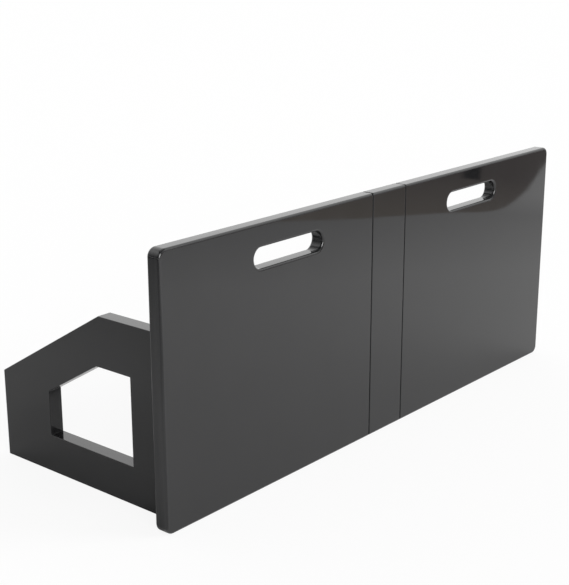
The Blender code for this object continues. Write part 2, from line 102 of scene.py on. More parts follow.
def add_node(tree, kind, inputs=(), output=None, **settings):
    """Adds a shader node and gives back its first live output, or the one named."""
    node = tree.nodes.new(kind)
    for name, value in settings.items():
        setattr(node, name, value)
    sockets = {s.name: s for s in reversed(node.inputs) if s.enabled}
    for key, value in dict(inputs).items():
        socket = node.inputs[key] if isinstance(key, int) else sockets[key]
        if isinstance(value, bpy.types.NodeSocket):
            tree.links.new(value, socket)
        else:
            socket.default_value = value
    if output:
        return node.outputs[output]
    return next((s for s in node.outputs if s.enabled), None)


def new_tree(name):
    """A material with an empty node tree."""
    material = bpy.data.materials.new(name)
    material.use_nodes = True
    material.node_tree.nodes.clear()
    return material, material.node_tree


print("black plastic, #161617, is", [round(c, 4) for c in linear("161617")])

# %% [markdown]
# The faces of the slabs are polished black polyethylene. Its colour is nearly nothing:
# what the eye sees is a mirror image of the white floor, faint where we look straight
# on and stronger towards the far end, which is Fresnel's law. So the base stays almost
# black and the roughness low. Sheet from a roller is never quite flat, so a long
# shallow swell bends the image a little, and a fine grain and a haze dull it. The grain
# is drawn coarser than life, or it would not show. A noise seldom leaves the range from
# 0.3 to 0.7, so that range is what gets mapped to the roughness.

# %% Polished black polyethylene
PLASTIC_IOR = 1.6
SWELL = 170 * MM
SWELL_DEPTH = 0.25 * MM
GRAIN = 1.6 * MM
GRAIN_DEPTH = 0.004 * MM
HAZE_PATCH = 45 * MM
FACE_ROUGHNESS = (0.025, 0.05)
NOISE_LOW = 0.3
NOISE_HIGH = 0.7

sheet_black, tree = new_tree("polished_black_polyethylene")
spot = add_node(tree, "ShaderNodeTexCoord", output="Object")
swell = add_node(tree, "ShaderNodeTexNoise", {"Vector": spot, "Scale": 1 / SWELL, "Detail": 1})
grain = add_node(tree, "ShaderNodeTexNoise", {"Vector": spot, "Scale": 1 / GRAIN, "Detail": 3})
haze = add_node(
    tree, "ShaderNodeTexNoise", {"Vector": spot, "Scale": 1 / HAZE_PATCH, "Detail": 4}
)
swell_bump = add_node(
    tree, "ShaderNodeBump", {"Height": swell, "Distance": SWELL_DEPTH, "Strength": 1}
)
grain_bump = add_node(
    tree, "ShaderNodeBump",
    {"Height": grain, "Distance": GRAIN_DEPTH, "Strength": 1, "Normal": swell_bump},
)
roughness = add_node(
    tree, "ShaderNodeMapRange",
    {"Value": haze, "From Min": NOISE_LOW, "From Max": NOISE_HIGH,
     "To Min": FACE_ROUGHNESS[0], "To Max": FACE_ROUGHNESS[1]},
)
tint = add_node(
    tree, "ShaderNodeMix", {"Factor": haze, "A": linear("131314"), "B": linear("1A1A1B")},
    data_type="RGBA",
)
shader = add_node(
    tree, "ShaderNodeBsdfPrincipled",
    {"Base Color": tint, "Roughness": roughness, "IOR": PLASTIC_IOR, "Normal": grain_bump},
)
add_node(tree, "ShaderNodeOutputMaterial", {"Surface": shader})
print("made", sheet_black.name)

# %% [markdown]
# The edges of the slabs were run round with a router. They are the same black, but
# duller, and the cutter left fine scratches that run along the edge. So the pattern is
# short through the slab's thickness and long in its plane, which stretches the noise
# into streaks. Real scratches are finer than a pixel here, so these are drawn coarser.
# The boards lie across Y and the legs across X, so one function makes the finish for
# both, and only the stretch differs.

# %% Routed black edges
STREAK = 4 * MM
STREAK_LENGTH = 140 * MM
STREAK_DEPTH = 0.04 * MM
EDGE_ROUGHNESS = (0.09, 0.15)


def routed_black(name, stretch):
    material, tree = new_tree(name)
    spot = add_node(tree, "ShaderNodeTexCoord", output="Object")
    along = add_node(tree, "ShaderNodeMapping", {"Vector": spot, "Scale": stretch})
    streak = add_node(tree, "ShaderNodeTexNoise", {"Vector": along, "Scale": 1, "Detail": 3})
    haze = add_node(
        tree, "ShaderNodeTexNoise", {"Vector": spot, "Scale": 1 / HAZE_PATCH, "Detail": 4}
    )
    bump = add_node(
        tree, "ShaderNodeBump", {"Height": streak, "Distance": STREAK_DEPTH, "Strength": 1}
    )
    roughness = add_node(
        tree, "ShaderNodeMapRange",
        {"Value": haze, "From Min": NOISE_LOW, "From Max": NOISE_HIGH,
         "To Min": EDGE_ROUGHNESS[0], "To Max": EDGE_ROUGHNESS[1]},
    )
    tint = add_node(
        tree, "ShaderNodeMix", {"Factor": streak, "A": linear("0A0A0B"), "B": linear("2B2B2C")},
        data_type="RGBA",
    )
    shader = add_node(
        tree, "ShaderNodeBsdfPrincipled",
        {"Base Color": tint, "Roughness": roughness, "IOR": PLASTIC_IOR, "Normal": bump},
    )
    add_node(tree, "ShaderNodeOutputMaterial", {"Surface": shader})
    print("made", name)
    return material


board_edge = routed_black(
    "routed_black_board_edge", (1 / STREAK_LENGTH, 1 / STREAK, 1 / STREAK_LENGTH)
)
leg_edge = routed_black(
    "routed_black_leg_edge", (1 / STREAK, 1 / STREAK_LENGTH, 1 / STREAK_LENGTH)
)

# %% [markdown]
# A slab is cut from sheet: an outline, its openings, and then a router that rounds the
# edges. It is modelled in that order. The outline is a few corner points, and bevelling
# a corner point gives the round corners. Filling between the outline and the openings
# gives the flat face, and extruding that gives the sheet's thickness.

# %% Slab helpers
CORNER_STEPS = 16
EDGE_STEPS = 4
SAME_SPOT = MM / 100
SAME_PLANE = radians(1)
EDGE_BEND = radians(45)
CREASE = radians(26)
FACE_ON = 0.999
BIG_FACES_FIRST = 100


def draw_outline(shape, corners, radius=0, round_all=True, rounded=()):
    """A flat outline through the corners; the wanted corners get the radius."""
    verts = [shape.verts.new((u, v, 0)) for u, v in corners]
    face = shape.faces.new(verts)
    if radius:
        picked = verts if round_all else [verts[i] for i in rounded]
        bmesh.ops.bevel(
            shape, geom=picked, offset=radius, segments=CORNER_STEPS, profile=0.5,
            affect="VERTICES", material=-1,
        )
    return face


def fill_between(shape, edges, facing=(0, 0, 1)):
    """Fills flat loops of edges; a loop inside another stays a hole."""
    bmesh.ops.triangle_fill(shape, edges=edges, use_beauty=True, normal=facing)


def merge_flat(shape):
    """Takes out the lines that cross a flat face."""
    bmesh.ops.dissolve_limit(
        shape, angle_limit=SAME_PLANE, verts=shape.verts, edges=shape.edges
    )


def cut_sheet(shape, thickness):
    """Fills between the outlines drawn so far and extrudes the fill."""
    bmesh.ops.delete(shape, geom=shape.faces[:], context="FACES_ONLY")
    bmesh.ops.remove_doubles(shape, verts=shape.verts, dist=SAME_SPOT)
    fill_between(shape, shape.edges[:])
    merge_flat(shape)
    raised = bmesh.ops.extrude_face_region(shape, geom=shape.faces[:])["geom"]
    top = [g for g in raised if isinstance(g, bmesh.types.BMVert)]
    bmesh.ops.translate(shape, vec=(0, 0, thickness), verts=top)
    bmesh.ops.recalc_face_normals(shape, faces=shape.faces)


def round_edges(shape, width_for, steps=EDGE_STEPS):
    """Bevels each sharp edge by the width that width_for gives it, widest first."""
    sharp = [e for e in shape.edges if e.calc_face_angle(0) > EDGE_BEND]
    for width in sorted({width_for(e) for e in sharp}, reverse=True):
        sharp = [e for e in shape.edges if e.calc_face_angle(0) > EDGE_BEND]
        bmesh.ops.bevel(
            shape, geom=[e for e in sharp if width_for(e) == width], offset=width,
            segments=steps, profile=0.5, affect="EDGES", clamp_overlap=False, material=-1,
        )


def to_mesh(shape, name, materials):
    mesh = bpy.data.meshes.new(name)
    shape.to_mesh(mesh)
    shape.free()
    mesh.shade_smooth()
    for material in materials:
        mesh.materials.append(material)
    return mesh


def add_piece(name, mesh, body, slot, *nodes):
    """Makes the mesh a piece that rides on its body and stands for its nodes."""
    piece = bpy.data.objects.new(name, mesh)
    bpy.context.scene.collection.objects.link(piece)
    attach(piece, body)
    if nodes:
        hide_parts(*nodes)
    print(name, len(mesh.polygons), "faces")
    return piece


def even_normals(piece):
    """Flat faces keep their own normals, and the roundings blend between them."""
    weighted = piece.modifiers.new("even_normals", "WEIGHTED_NORMAL")
    weighted.mode = "FACE_AREA"
    weighted.weight = BIG_FACES_FIRST
    weighted.keep_sharp = True


def black_slab(shape, name, across, body, edge):
    """Gives a slab its two finishes: polished on the faces, routed on the edges."""
    for face in shape.faces:
        face.material_index = 0 if abs(face.normal.dot(across)) > FACE_ON else 1
    mesh = to_mesh(shape, name + "_slab", [sheet_black, edge])
    mesh.set_sharp_from_angle(angle=CREASE)
    piece = add_piece(name + "_slab", mesh, body, "black_board", name)
    even_normals(piece)
    return piece


# %% [markdown]
# The two panels are the face that is played against. Each has a long slot with
# round ends near its top edge, to carry it by. The two corners at the board's outer end
# are rounded, and those at the seam are square, so that the seams close. All the edges
# are well rounded, for the hands, but for those at the seam.

# %% The panels
CORNER_RADIUS = 13 * MM
EDGE_ROUNDING = 4 * MM
SEAM_ROUNDING = 1.2 * MM
SLOT_LENGTH = 151 * MM
SLOT_HEIGHT = 30.5 * MM
SLOT_FROM_END = 258 * MM
SLOT_BELOW_TOP = 50 * MM
OUTER_CORNERS = (1, 2)
ACROSS_BOARD = Vector((0, 1, 0))
UPRIGHT = Matrix(((1, 0, 0, 0), (0, 0, 1, 0), (0, 1, 0, 0), (0, 0, 0, 1)))


def make_panel(side, label):
    low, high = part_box(label + "_panel")
    outer, seam = (high.x, low.x) if side > 0 else (low.x, high.x)
    slot_middle = outer - side * SLOT_FROM_END
    slot_ends = (slot_middle - SLOT_LENGTH / 2, slot_middle + SLOT_LENGTH / 2)
    slot_top = high.z - SLOT_BELOW_TOP + SLOT_HEIGHT / 2
    slot_foot = slot_top - SLOT_HEIGHT
    shape = bmesh.new()
    draw_outline(
        shape, [(seam, low.z), (outer, low.z), (outer, high.z), (seam, high.z)],
        CORNER_RADIUS, round_all=False, rounded=OUTER_CORNERS,
    )
    draw_outline(
        shape,
        [(slot_ends[0], slot_foot), (slot_ends[1], slot_foot),
         (slot_ends[1], slot_top), (slot_ends[0], slot_top)],
        SLOT_HEIGHT / 2,
    )
    cut_sheet(shape, high.y - low.y)

    def at_seam(edge):
        return all(abs(v.co.x - seam) < SAME_SPOT for v in edge.verts)

    round_edges(shape, lambda edge: SEAM_ROUNDING if at_seam(edge) else EDGE_ROUNDING)
    bmesh.ops.transform(
        shape, matrix=Matrix.Translation((0, low.y, 0)) @ UPRIGHT, verts=shape.verts
    )
    bmesh.ops.recalc_face_normals(shape, faces=shape.faces)
    return black_slab(shape, label + "_panel", ACROSS_BOARD, label + "_panel", board_edge)


for side, label in ((-1, "left"), (1, "right")):
    make_panel(side, label)

# %% [markdown]
# The strip between the panels is what they both fold back from. It is wide enough for
# the folded panels to stand behind it with the two legs flat between them. It has no
# round corners: it is a plain block with its edges eased.

# %% The centre strip
def make_strip():
    low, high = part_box("centre_strip")
    shape = bmesh.new()
    draw_outline(shape, [(low.x, low.z), (high.x, low.z), (high.x, high.z), (low.x, high.z)])
    cut_sheet(shape, high.y - low.y)

    def along_a_seam(edge):
        return abs(edge.verts[0].co.x - edge.verts[1].co.x) < SAME_SPOT

    round_edges(shape, lambda edge: SEAM_ROUNDING if along_a_seam(edge) else EDGE_ROUNDING)
    bmesh.ops.transform(
        shape, matrix=Matrix.Translation((0, low.y, 0)) @ UPRIGHT, verts=shape.verts
    )
    bmesh.ops.recalc_face_normals(shape, faces=shape.faces)
    return black_slab(shape, "centre_strip", ACROSS_BOARD, "root", board_edge)


make_strip()

# %% [markdown]
# Each leg is a five-sided slab with a five-sided window, so that it is light and can be
# gripped. Its front and bottom edges are square to each other, which holds the board
# upright, and the slope takes away what does no work. The window's edges run parallel
# to the outline's, each rail at its own width.

# %% The legs
LEG_REAR_HEIGHT = 139 * MM
LEG_PEAK_DEPTH = 142 * MM
LEG_FRONT_RAIL = 81 * MM
LEG_BOTTOM_RAIL = 59.5 * MM
LEG_TOP_RAIL = 76.5 * MM
LEG_SLOPE_RAIL = 61.5 * MM
LEG_REAR_RAIL = 106 * MM
LEG_ROUNDING = 0.8 * MM
ACROSS_LEG = Vector((1, 0, 0))
SIDEWAYS = Matrix(((0, 0, 1, 0), (1, 0, 0, 0), (0, 1, 0, 0), (0, 0, 0, 1)))


def make_leg(label):
    low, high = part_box(label + "_leg")
    depth = high.y - low.y
    height = high.z - low.z
    fall = (height - LEG_REAR_HEIGHT) / (depth - LEG_PEAK_DEPTH)
    slope_rail_upright = LEG_SLOPE_RAIL * hypot(1, fall)
    top = height - LEG_TOP_RAIL
    rear = depth - LEG_REAR_RAIL
    rear_height = height - slope_rail_upright - (rear - LEG_PEAK_DEPTH) * fall
    peak_depth = LEG_PEAK_DEPTH + (height - slope_rail_upright - top) / fall
    shape = bmesh.new()
    draw_outline(
        shape,
        [(0, 0), (depth, 0), (depth, LEG_REAR_HEIGHT), (LEG_PEAK_DEPTH, height), (0, height)],
    )
    draw_outline(
        shape,
        [(LEG_FRONT_RAIL, LEG_BOTTOM_RAIL), (rear, LEG_BOTTOM_RAIL), (rear, rear_height),
         (peak_depth, top), (LEG_FRONT_RAIL, top)],
    )
    cut_sheet(shape, high.x - low.x)
    round_edges(shape, lambda edge: LEG_ROUNDING)
    bmesh.ops.transform(
        shape, matrix=Matrix.Translation(low) @ SIDEWAYS, verts=shape.verts
    )
    bmesh.ops.recalc_face_normals(shape, faces=shape.faces)
    return black_slab(shape, label + "_leg", ACROSS_LEG, label + "_leg", leg_edge)


for label in ("left", "right"):
    make_leg(label)

# %% [markdown]
# Eight folding brackets join the boards, two on each seam and two in each leg's corner.
# They are stamped from two-millimetre steel and zinc-plated, then passivated, which
# leaves a warm straw tint that drifts towards grey in patches. A plated sheet is
# metal through and through, so it has metallic 1 and the default index, and the
# patches, a fine mottle and a little roughness are all that tells it from chrome.

# %% Zinc-plated sheet steel
TINT_PATCH = 22 * MM
MOTTLE = 1.1 * MM
MOTTLE_DEPTH = 0.006 * MM
DRIFT_LOW = 0.35
DRIFT_HIGH = 0.65
ZINC_ROUGHNESS = (0.22, 0.36)

zinc, tree = new_tree("zinc_plated_sheet_steel")
spot = add_node(tree, "ShaderNodeTexCoord", output="Object")
patch = add_node(
    tree, "ShaderNodeTexNoise", {"Vector": spot, "Scale": 1 / TINT_PATCH, "Detail": 1}
)
mottle = add_node(
    tree, "ShaderNodeTexNoise", {"Vector": spot, "Scale": 1 / MOTTLE, "Detail": 2}
)
drift = add_node(
    tree, "ShaderNodeMapRange",
    {"Value": patch, "From Min": DRIFT_LOW, "From Max": DRIFT_HIGH},
)
tint = add_node(
    tree, "ShaderNodeMix", {"Factor": drift, "A": linear("CFCCC4"), "B": linear("CCBD98")},
    data_type="RGBA",
)
roughness = add_node(
    tree, "ShaderNodeMapRange",
    {"Value": mottle, "From Min": NOISE_LOW, "From Max": NOISE_HIGH,
     "To Min": ZINC_ROUGHNESS[0], "To Max": ZINC_ROUGHNESS[1]},
)
bump = add_node(
    tree, "ShaderNodeBump", {"Height": mottle, "Distance": MOTTLE_DEPTH, "Strength": 1}
)
shader = add_node(
    tree, "ShaderNodeBsdfPrincipled",
    {"Base Color": tint, "Metallic": 1, "Roughness": roughness, "Normal": bump},
)
add_node(tree, "ShaderNodeOutputMaterial", {"Surface": shader})
print("made", zinc.name)

# %% [markdown]
# The rivets, the lock bars and the screws are cold-formed from rod and plated in clear
# zinc, which is whiter and brighter. The springs are drawn wire, only oiled, so they
# are the darkest metal here.

# %% Clear zinc and spring wire
def turned_metal(name, light, dark, smooth, rough):
    """A metal whose shade and gloss drift a little from patch to patch."""
    material, tree = new_tree(name)
    spot = add_node(tree, "ShaderNodeTexCoord", output="Object")
    patch = add_node(
        tree, "ShaderNodeTexNoise", {"Vector": spot, "Scale": 1 / MOTTLE, "Detail": 3}
    )
    tint = add_node(
        tree, "ShaderNodeMix", {"Factor": patch, "A": linear(light), "B": linear(dark)},
        data_type="RGBA",
    )
    roughness = add_node(
        tree, "ShaderNodeMapRange",
        {"Value": patch, "From Min": NOISE_LOW, "From Max": NOISE_HIGH,
         "To Min": smooth, "To Max": rough},
    )
    shader = add_node(
        tree, "ShaderNodeBsdfPrincipled",
        {"Base Color": tint, "Metallic": 1, "Roughness": roughness},
    )
    add_node(tree, "ShaderNodeOutputMaterial", {"Surface": shader})
    print("made", name)
    return material


clear_zinc = turned_metal("clear_zinc_plated_rod", "DEDEDA", "C2C0BA", 0.16, 0.28)
spring_steel = turned_metal("oiled_spring_wire", "A5A5A2", "777672", 0.22, 0.34)

# %% [markdown]
# A bracket half is one flat blank bent into a channel: a web that is screwed down, and
# two cheeks that the rivet goes through. It is modelled as the press makes it. The
# outline of a cheek is filled flat, slots are cut out of it, its lower edge is spun a
# quarter turn to make the bend, a mirror gives the other cheek, and the web fills the
# room between. Everything is drawn about the rivet: the arm runs along +X, and the
# board it is screwed to is at -Y.

# %% The bracket's sizes
SEAT = 19.2 * MM
SHEET = 2 * MM
ARM_LENGTH = 60 * MM
ARM_END_HEIGHT = 8 * MM
ARM_END_RADIUS = 4 * MM
BEND_RADIUS = 3 * MM
BEND_STEPS = 6
CHEEK_HEEL = 3.2 * MM
WEB_START = 10.5 * MM
RELIEF = 1.2 * MM
RELIEF_PAST_BEND = 0.6 * MM
BRACKET_WIDTH = 50 * MM
CHEEK_RADIUS = 17 * MM
CHEEK_STEPS = 32
SWING_WIDTH = 45.4 * MM
SECTOR_RADIUS = 15 * MM
BORE_RADIUS = 4.15 * MM
BORE_STEPS = 32
SCREW_HOLE_RADIUS = 2.6 * MM
SCREW_PLACES = [(24 * MM, -13 * MM), (24 * MM, 13 * MM), (50 * MM, 0)]
LOCK_ANGLE = radians(-62)
LOCK_THICKNESS = 2.5 * MM
LOCK_WIDTH = 4.5 * MM
LOCK_HALF_LENGTH = 32 * MM
LOCK_REST_RADIUS = 16.65 * MM
NOTCH_BOTTOM = 12.3 * MM
NOTCH_WIDTH = 4.8 * MM
SLOT_END = 18.2 * MM
CUT_SNAP = SAME_SPOT / 10
DEBURR = 0.25 * MM
DEBURR_STEPS = 2
print("web from", WEB_START / MM, "to", ARM_LENGTH / MM, "mm")
print("cheeks", BRACKET_WIDTH / MM, "mm apart")

# %% Drawing a cheek
def arc(centre, radius, start, end, steps):
    """Points along an arc, ends included."""
    angles = [start + (end - start) * i / steps for i in range(steps + 1)]
    return [(centre[0] + radius * cos(a), centre[1] + radius * sin(a)) for a in angles]


def tangent_angle(point, radius, side):
    """Where a line through the point touches a circle about the rivet."""
    return atan2(point[1], point[0]) + side * acos(radius / hypot(*point))


def draw_cheek(shape, radius):
    """Round about the rivet, then falling to the arm's end; a slit frees the bend."""
    corner = (ARM_LENGTH - ARM_END_RADIUS, -SEAT + ARM_END_HEIGHT - ARM_END_RADIUS)
    heel = (CHEEK_HEEL, -SEAT)
    fold = -SEAT + BEND_RADIUS
    slant = tangent_angle(corner, radius - ARM_END_RADIUS, 1)
    round_end = tangent_angle(heel, radius, -1) + 2 * pi
    outline = arc((0, 0), radius, slant, round_end, CHEEK_STEPS)
    outline += [heel, (WEB_START - RELIEF, -SEAT)]
    outline += [(WEB_START - RELIEF, fold + RELIEF_PAST_BEND)]
    outline += [(WEB_START, fold + RELIEF_PAST_BEND), (WEB_START, fold), (ARM_LENGTH, fold)]
    outline += arc(corner, ARM_END_RADIUS, 0, slant, BEND_STEPS)
    draw_outline(shape, outline)
    bmesh.ops.delete(shape, geom=shape.faces[:], context="FACES_ONLY")
    bmesh.ops.create_circle(shape, segments=BORE_STEPS, radius=BORE_RADIUS)
    bmesh.ops.remove_doubles(shape, verts=shape.verts, dist=SAME_SPOT)
    fill_between(shape, shape.edges[:])


def cut_slot(shape, angle, inner, outer):
    """Cuts out a slot as wide as the lock bar, which points at the rivet."""
    out = Vector((cos(angle), sin(angle), 0))
    across = Vector((-sin(angle), cos(angle), 0))
    sides = [(out * inner, out), (out * outer, out)]
    sides += [(across * NOTCH_WIDTH / 2, across), (-across * NOTCH_WIDTH / 2, across)]
    for point, normal in sides:
        everything = shape.verts[:] + shape.edges[:] + shape.faces[:]
        bmesh.ops.bisect_plane(
            shape, geom=everything, dist=CUT_SNAP, plane_co=point, plane_no=normal
        )
    waste = []
    for face in shape.faces:
        middle = face.calc_center_median()
        if inner < middle.dot(out) < outer and abs(middle.dot(across)) < NOTCH_WIDTH / 2:
            waste.append(face)
    bmesh.ops.delete(shape, geom=waste, context="FACES")


# %% Bending it into a channel
def bend_channel(shape, width):
    """Bends the filled cheek's lower edge, mirrors it and joins the two with the web."""
    fold = -SEAT + BEND_RADIUS
    bmesh.ops.translate(shape, vec=(0, 0, width / 2), verts=shape.verts)
    lower = [
        e for e in shape.edges
        if all(abs(v.co.y - fold) < SAME_SPOT and v.co.x > WEB_START - SAME_SPOT for v in e.verts)
    ]
    bmesh.ops.spin(
        shape, geom=lower, cent=(0, fold, width / 2 - BEND_RADIUS), axis=(1, 0, 0),
        angle=pi / 2, steps=BEND_STEPS, use_duplicate=False,
    )
    everything = shape.verts[:] + shape.edges[:] + shape.faces[:]
    bmesh.ops.mirror(shape, geom=everything, matrix=Matrix.Identity(4), merge_dist=0, axis="Z")
    bmesh.ops.remove_doubles(shape, verts=shape.verts, dist=SAME_SPOT)
    flat = width / 2 - BEND_RADIUS
    rim = [
        e for e in shape.edges
        if all(abs(v.co.y + SEAT) < SAME_SPOT and abs(v.co.z) < flat + SAME_SPOT for v in e.verts)
    ]
    corners = {v for e in rim for v in e.verts}
    for end in (WEB_START, ARM_LENGTH):
        pair = [v for v in corners if abs(v.co.x - end) < SAME_SPOT]
        rim.append(shape.edges.new(pair))
    for along, across in SCREW_PLACES:
        at_web = Matrix.Translation((along, -SEAT, across)) @ Matrix.Rotation(pi / 2, 4, "X")
        hole = bmesh.ops.create_circle(
            shape, segments=BORE_STEPS, radius=SCREW_HOLE_RADIUS, matrix=at_web
        )
        rim += {e for v in hole["verts"] for e in v.link_edges}
    fill_between(shape, rim, (0, -1, 0))
    merge_flat(shape)
    bmesh.ops.recalc_face_normals(shape, faces=shape.faces)
    web = min(shape.faces, key=lambda face: face.calc_center_median().y)
    if web.normal.y > 0:
        bmesh.ops.reverse_faces(shape, faces=shape.faces)


def channel_mesh(name, radius, width, slots):
    shape = bmesh.new()
    draw_cheek(shape, radius)
    for angle, inner, outer in slots:
        cut_slot(shape, angle, inner, outer)
    merge_flat(shape)
    bend_channel(shape, width)
    return to_mesh(shape, name, [zinc])


def finish_sheet(piece, thickness=0):
    """The sheet's thickness grows inwards, and its cut edges are deburred."""
    if thickness:
        solid = piece.modifiers.new("sheet", "SOLIDIFY")
        solid.thickness = thickness
        solid.offset = -1
        solid.use_even_offset = True
    deburr = piece.modifiers.new("deburred_edges", "BEVEL")
    deburr.width = DEBURR
    deburr.segments = DEBURR_STEPS
    deburr.limit_method = "ANGLE"
    deburr.angle_limit = EDGE_BEND
    even_normals(piece)


NOTCH_PAST = SECTOR_RADIUS + 4 * MM
BRACKET_MESHES = {
    "channel": channel_mesh(
        "channel", CHEEK_RADIUS, BRACKET_WIDTH, [(LOCK_ANGLE, NOTCH_BOTTOM, SLOT_END)]
    ),
    "seam_swing_arm": channel_mesh(
        "seam_swing_arm", SECTOR_RADIUS, SWING_WIDTH,
        [(pi - LOCK_ANGLE, NOTCH_BOTTOM, NOTCH_PAST),
         (pi / 2 - LOCK_ANGLE, NOTCH_BOTTOM, NOTCH_PAST)],
    ),
    "leg_swing_arm": channel_mesh(
        "leg_swing_arm", SECTOR_RADIUS, SWING_WIDTH,
        [(pi / 2 - LOCK_ANGLE, NOTCH_BOTTOM, NOTCH_PAST),
         (-LOCK_ANGLE, NOTCH_BOTTOM, NOTCH_PAST)],
    ),
}

# %% [markdown]
# The rivet is a rod whose ends were beaten over into domed heads. Half its outline is
# a line of points, and a full spin about its axis turns it.

# %% The rivet
PIN_RADIUS = 4 * MM
HEAD_RADIUS = 7 * MM
HEAD_HEIGHT = 2.6 * MM
HEAD_RIM = 0.9 * MM
HEAD_GAP = 0.3 * MM
HEAD_SEAT = BRACKET_WIDTH / 2 + HEAD_GAP
DOME_STEPS = 8
TURN_STEPS = 40


def rivet_mesh():
    shape = bmesh.new()
    upper = [
        (HEAD_RADIUS * cos(a), HEAD_SEAT + HEAD_RIM + (HEAD_HEIGHT - HEAD_RIM) * sin(a))
        for a in [pi / 2 * i / DOME_STEPS for i in range(DOME_STEPS, -1, -1)]
    ]
    upper += [(HEAD_RADIUS, HEAD_SEAT), (PIN_RADIUS, HEAD_SEAT)]
    profile = upper + [(r, -z) for r, z in reversed(upper)]
    verts = [shape.verts.new((r, 0, z)) for r, z in profile]
    edges = [shape.edges.new(pair) for pair in zip(verts, verts[1:])]
    bmesh.ops.spin(
        shape, geom=verts + edges, cent=(0, 0, 0), axis=(0, 0, 1), angle=2 * pi,
        steps=TURN_STEPS, use_merge=True, use_duplicate=False,
    )
    bmesh.ops.remove_doubles(shape, verts=shape.verts, dist=SAME_SPOT)
    bmesh.ops.recalc_face_normals(shape, faces=shape.faces)
    return to_mesh(shape, "rivet", [clear_zinc])


BRACKET_MESHES["pin"] = rivet_mesh()

# %% [markdown]
# The lock bar is a flat bar through both cheeks. It drops into a notch of the swing arm
# to hold the bracket open or folded. Its ends stick out for the fingers, so their
# corners are rounded off.

# %% The lock bar
LOCK_CORNER = 1.5 * MM


def lock_bar_mesh():
    shape = bmesh.new()
    bmesh.ops.create_cube(shape, size=1)
    size = (LOCK_THICKNESS, LOCK_WIDTH, 2 * LOCK_HALF_LENGTH)
    bmesh.ops.scale(shape, vec=size, verts=shape.verts)
    corners = []
    for edge in shape.edges:
        a, b = (v.co for v in edge.verts)
        if abs(a.y - b.y) < SAME_SPOT and abs(a.z - b.z) < SAME_SPOT:
            corners.append(edge)
    bmesh.ops.bevel(
        shape, geom=corners, offset=LOCK_CORNER, segments=EDGE_STEPS, profile=0.5,
        affect="EDGES", material=-1,
    )
    bmesh.ops.translate(shape, vec=(LOCK_REST_RADIUS, 0, 0), verts=shape.verts)
    bmesh.ops.rotate(shape, matrix=Matrix.Rotation(LOCK_ANGLE, 3, "Z"), verts=shape.verts)
    bmesh.ops.recalc_face_normals(shape, faces=shape.faces)
    return to_mesh(shape, "lock_bar", [clear_zinc])


BRACKET_MESHES["lock_bar"] = lock_bar_mesh()

# %% [markdown]
# A torsion spring on the rivet pushes the lock bar home. One end hooks over the bar and
# the other rests along the web. The wire is a small circle: it is drawn out along the
# hook, spun round the hook's bend, spun about the rivet with a little rise at each step,
# which makes the coil, and drawn out again to where the leg rests.

# %% The spring
WIRE_RADIUS = 0.7 * MM
WIRE_SIDES = 10
COIL_RADIUS = 5.2 * MM
COIL_PITCH = 1.9 * MM
COIL_WHOLE_TURNS = 4
COIL_STEPS = 24
HOOK_BEND = 1.5 * MM
HOOK_REACH = 1.5 * MM
HOOK_OUT = 18.9 * MM
WIRE_ABOVE_WEB = 1 * MM
LEG_REST = (30 * MM, -SEAT + SHEET + WIRE_ABOVE_WEB)


def spring_mesh():
    start = LOCK_ANGLE + pi / 2
    end = tangent_angle(LEG_REST, COIL_RADIUS, -1) + COIL_WHOLE_TURNS * 2 * pi
    rise = COIL_PITCH * (end - start) / (2 * pi)
    out = Vector((cos(LOCK_ANGLE), sin(LOCK_ANGLE), 0))
    across = Vector((-sin(LOCK_ANGLE), cos(LOCK_ANGLE), 0))
    low = Vector((0, 0, -rise / 2))
    tip = out * HOOK_OUT - across * HOOK_REACH + low
    bend = out * (HOOK_OUT - HOOK_BEND) + across * (COIL_RADIUS - HOOK_BEND) + low
    shape = bmesh.new()
    facing = across.to_track_quat("Z", "Y").to_matrix().to_4x4()
    ring = bmesh.ops.create_circle(
        shape, cap_ends=True, segments=WIRE_SIDES, radius=WIRE_RADIUS,
        matrix=Matrix.Translation(tip) @ facing,
    )
    edges = {e for v in ring["verts"] for e in v.link_edges}

    def draw_out(edges, along):
        grown = bmesh.ops.extrude_edge_only(shape, edges=list(edges))["geom"]
        verts = [g for g in grown if isinstance(g, bmesh.types.BMVert)]
        bmesh.ops.translate(shape, vec=along, verts=verts)
        return [g for g in grown if isinstance(g, bmesh.types.BMEdge)
                and all(v in verts for v in g.verts)]

    def wind(edges, centre, angle, steps, dvec=(0, 0, 0)):
        return [
            g for g in bmesh.ops.spin(
                shape, geom=list(edges), cent=centre, axis=(0, 0, 1), angle=angle,
                steps=steps, dvec=dvec, use_duplicate=False,
            )["geom_last"] if isinstance(g, bmesh.types.BMEdge)
        ]

    edges = draw_out(edges, across * (COIL_RADIUS - HOOK_BEND + HOOK_REACH))
    edges = wind(edges, bend, pi / 2, EDGE_STEPS)
    edges = draw_out(edges, -out * (HOOK_OUT - HOOK_BEND))
    steps = round((end - start) / (2 * pi) * COIL_STEPS)
    edges = wind(edges, (0, 0, 0), end - start, steps, (0, 0, rise / steps))
    coil_end = Vector((COIL_RADIUS * cos(end), COIL_RADIUS * sin(end), 0))
    edges = draw_out(edges, Vector((*LEG_REST, 0)) - coil_end)
    bmesh.ops.contextual_create(shape, geom=edges)
    bmesh.ops.recalc_face_normals(shape, faces=shape.faces)
    turns = (end - start) / (2 * pi)
    print("spring:", round(turns, 2), "turns,", round(rise / MM, 2), "mm long")
    return to_mesh(shape, "spring", [spring_steel])


BRACKET_MESHES["spring"] = spring_mesh()

# %% [markdown]
# Three pan-head screws with a cross recess hold each half to its board. A head is drawn
# from its flat top outwards: the cross is a hole in the top, its walls go down and
# narrow, and the top's round edge steps outwards and down to make the rounded rim.

